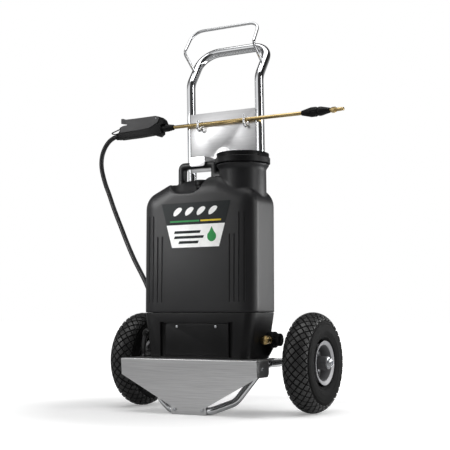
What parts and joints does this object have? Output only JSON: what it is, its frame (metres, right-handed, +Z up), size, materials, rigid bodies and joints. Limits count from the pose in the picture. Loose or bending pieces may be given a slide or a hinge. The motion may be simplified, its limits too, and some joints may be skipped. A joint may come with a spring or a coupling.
{
  "type": "wheeled sprayer cart",
  "caption": "Two-wheeled tubular cart carrying a battery tank sprayer with screw lid, hose and a telescopic lance clipped across the back plate.",
  "frame": {"origin": "middle of the hollow axle, between the two wheels; the ground is half a wheel diameter below", "axes": "+X along the axle to the nozzle side, -Y towards the front of the platform, +Z up"},
  "size_m": [0.7793, 0.3267, 1.061],
  "materials": {
    "chrome_tube": "polished chrome plate",
    "stainless_sheet": "satin stainless sheet",
    "zinc_steel": "bright zinc plated steel",
    "tank_plastic": "blow moulded, fine grain",
    "black_plastic": "injection moulded, fine grain",
    "grey_plastic": "injection moulded, smooth",
    "brass": "turned brass",
    "rubber": "smooth black rubber",
    "tyre_rubber": "black tyre rubber",
    "rim_paint": "grey satin paint",
    "label_dark": "printed film",
    "label_light": "printed film",
    "battery_case": "moulded case",
    "motor_steel": "drawn steel can"
  },
  "bodies": {
    "cart": {"main_tube": "chrome_tube", "top_hoop": "chrome_tube", "foot_tube": "chrome_tube", "axle": "zinc_steel", "axle_brackets": "zinc_steel", "axle_collars": "chrome_tube", "axle_washers": "zinc_steel", "axle_nuts": "zinc_steel", "platform": "stainless_sheet", "apron_screws": "zinc_steel", "flange_rivets": "zinc_steel", "back_plate": "stainless_sheet", "lance_clips": "chrome_tube", "tank_hook": "stainless_sheet", "tank": "tank_plastic", "carry_handle": "tank_plastic", "filler_neck": "tank_plastic", "breather_cap": "black_plastic", "strainer": "black_plastic", "strainer_floor": "motor_steel", "motor_base": "black_plastic", "front_cover": "black_plastic", "cover_screws": "zinc_steel", "battery_pack": "battery_case", "pump": "black_plastic", "motor": "motor_steel", "regulator_housing": "black_plastic", "brass_nipple": "brass", "hose_elbow": "black_plastic", "hose": "rubber", "label_dark": "label_dark", "label_light": "label_light", "grip_body": "black_plastic", "lever_pin": "zinc_steel", "valve_spring": "zinc_steel", "hose_nut": "black_plastic", "front_nut": "black_plastic", "outer_tube": "brass"},
    "wheel_left": {"tyre_left": "tyre_rubber", "rim_left": "rim_paint", "rim_bolts_left": "zinc_steel", "hub_left": "rim_paint", "bearings_left": "zinc_steel"},
    "wheel_right": {"tyre_right": "tyre_rubber", "rim_right": "rim_paint", "rim_bolts_right": "zinc_steel", "hub_right": "rim_paint", "bearings_right": "zinc_steel"},
    "lid_seal": {"lid_seal": "rubber"},
    "lid": {"lid": "black_plastic"},
    "pressure_knob": {"pressure_knob": "black_plastic"},
    "brass_cap": {"brass_cap": "brass"},
    "trigger": {"trigger_lever": "grey_plastic"},
    "valve_plunger": {"valve_plunger": "brass"},
    "lock_ring": {"lock_ring": "black_plastic"},
    "lock_nut": {"lock_nut": "black_plastic"},
    "inner_tube": {"inner_tube": "brass", "nozzle_holder": "black_plastic", "nozzle_body": "brass"},
    "nozzle_cap": {"nozzle_cap": "brass"}
  },
  "joints": [
    {"name": "wheel_left_spin", "type": "hinge", "parent": "cart", "child": "wheel_left", "pos_m": [-0.265, 0, 0], "axis": [1, 0, 0], "continuous": true},
    {"name": "wheel_right_spin", "type": "hinge", "parent": "cart", "child": "wheel_right", "pos_m": [0.265, 0, 0], "axis": [1, 0, 0], "continuous": true},
    {"name": "lid_lift", "type": "slide", "parent": "cart", "child": "lid_seal", "axis": [0, 0, 1], "range_m": [0, 0.04]},
    {"name": "lid_turn", "type": "hinge", "parent": "lid_seal", "child": "lid", "pos_m": [0.103, -0.08147, 0.5402], "axis": [0, 0, 1], "range_deg": [0, 360]},
    {"name": "pressure_knob_turn", "type": "hinge", "parent": "cart", "child": "pressure_knob", "pos_m": [0.178, -0.04247, 0.0588], "axis": [1, 0, 0], "range_deg": [0, 270]},
    {"name": "brass_cap_turn", "type": "hinge", "parent": "cart", "child": "brass_cap", "pos_m": [0.171, -0.08467, 0.0588], "axis": [0, -1, 0], "range_deg": [0, 360]},
    {"name": "trigger_squeeze", "type": "hinge", "parent": "cart", "child": "trigger", "pos_m": [-0.204, -0.02245, 0.6796], "axis": [0, -1, 0], "range_deg": [0, 5], "stiffness_Nm_per_rad": 0.5, "springref_deg": -11.46},
    {"name": "valve_press", "type": "slide", "parent": "cart", "child": "valve_plunger", "axis": [0, 0, -1], "range_m": [0, 0.004], "deforming": ["valve_spring"]},
    {"name": "lock_ring_swing", "type": "hinge", "parent": "cart", "child": "lock_ring", "pos_m": [-0.33, -0.02245, 0.6602], "axis": [0, 1, 0], "range_deg": [0, 100]},
    {"name": "lock_nut_turn", "type": "hinge", "parent": "cart", "child": "lock_nut", "pos_m": [0.271, -0.02245, 0.651], "axis": [1, 0, 0], "range_deg": [0, 360]},
    {"name": "lance_slide", "type": "slide", "parent": "cart", "child": "inner_tube", "axis": [1, 0, 0], "range_m": [0, 0.32]},
    {"name": "nozzle_cap_turn", "type": "hinge", "parent": "inner_tube", "child": "nozzle_cap", "pos_m": [0.3492, -0.02245, 0.651], "axis": [1, 0, 0], "range_deg": [0, 360]}
  ],
  "couplings": [
    {"joint": "valve_press", "follows": "trigger_squeeze", "m_per_rad": 0.033}
  ]
}
